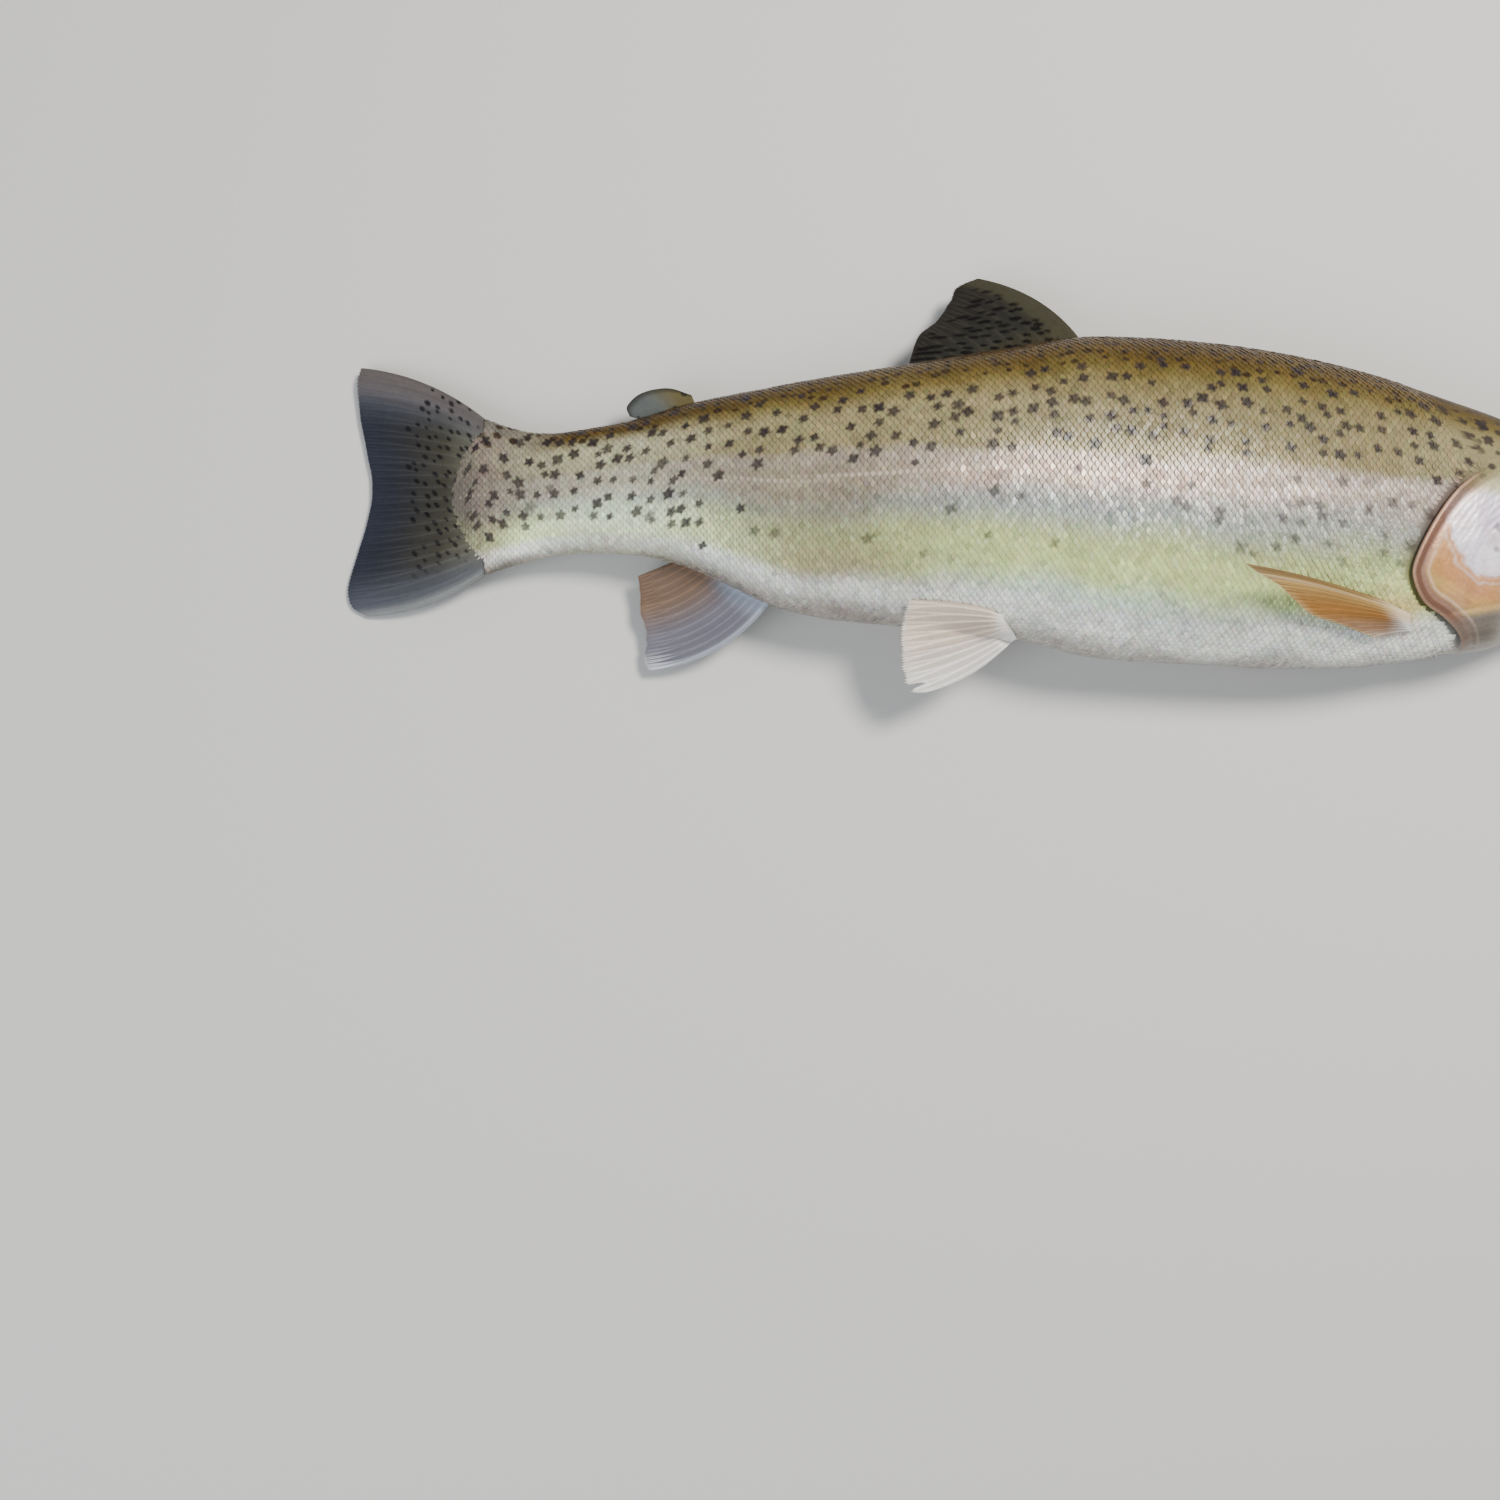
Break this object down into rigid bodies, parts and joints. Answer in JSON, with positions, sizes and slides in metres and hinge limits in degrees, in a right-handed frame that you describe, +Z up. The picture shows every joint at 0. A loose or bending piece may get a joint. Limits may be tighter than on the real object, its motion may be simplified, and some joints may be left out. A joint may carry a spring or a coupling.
{
  "type": "rainbow trout",
  "caption": "Life-size still model of an adult rainbow trout lying on its left side, right flank up, with spread fins and a slightly forked tail.",
  "frame": {"origin": "middle of the fish's box, on the floor it lies on", "axes": "+X towards the snout, +Y towards the back, +Z up, away from the floor, out of the fish's right flank"},
  "size_m": [0.4599, 0.1479, 0.0702],
  "materials": {
    "skin_flank": "wet silvery scales, olive above and white below",
    "skin_back": "wet smooth skin, olive with dark spots",
    "skin_belly": "wet smooth skin, white",
    "gill_cover": "pearly, lilac and bronze",
    "eye": "wet and clear, black pupil in a gold ring",
    "dark_fin": "thin rayed web, blue-grey with dark spots",
    "pale_fin": "thin rayed web, cream to orange-tan"
  },
  "bodies": {
    "root": {"head": "skin_back", "lower_jaw": "skin_belly", "throat": "skin_belly", "maxilla_right": "gill_cover", "maxilla_left": "gill_cover", "gill_cover_right": "gill_cover", "gill_cover_left": "gill_cover", "eye_right": "eye", "eye_left": "eye", "trunk_front": "skin_flank", "trunk_middle": "skin_flank", "trunk_rear": "skin_flank", "tail_stalk": "skin_flank", "caudal_fin": "dark_fin", "dorsal_fin": "dark_fin", "adipose_fin": "dark_fin", "anal_fin": "pale_fin", "pelvic_fin_right": "pale_fin", "pelvic_fin_left": "pale_fin", "pectoral_fin_right": "pale_fin", "pectoral_fin_left": "pale_fin"}
  },
  "joints": []
}
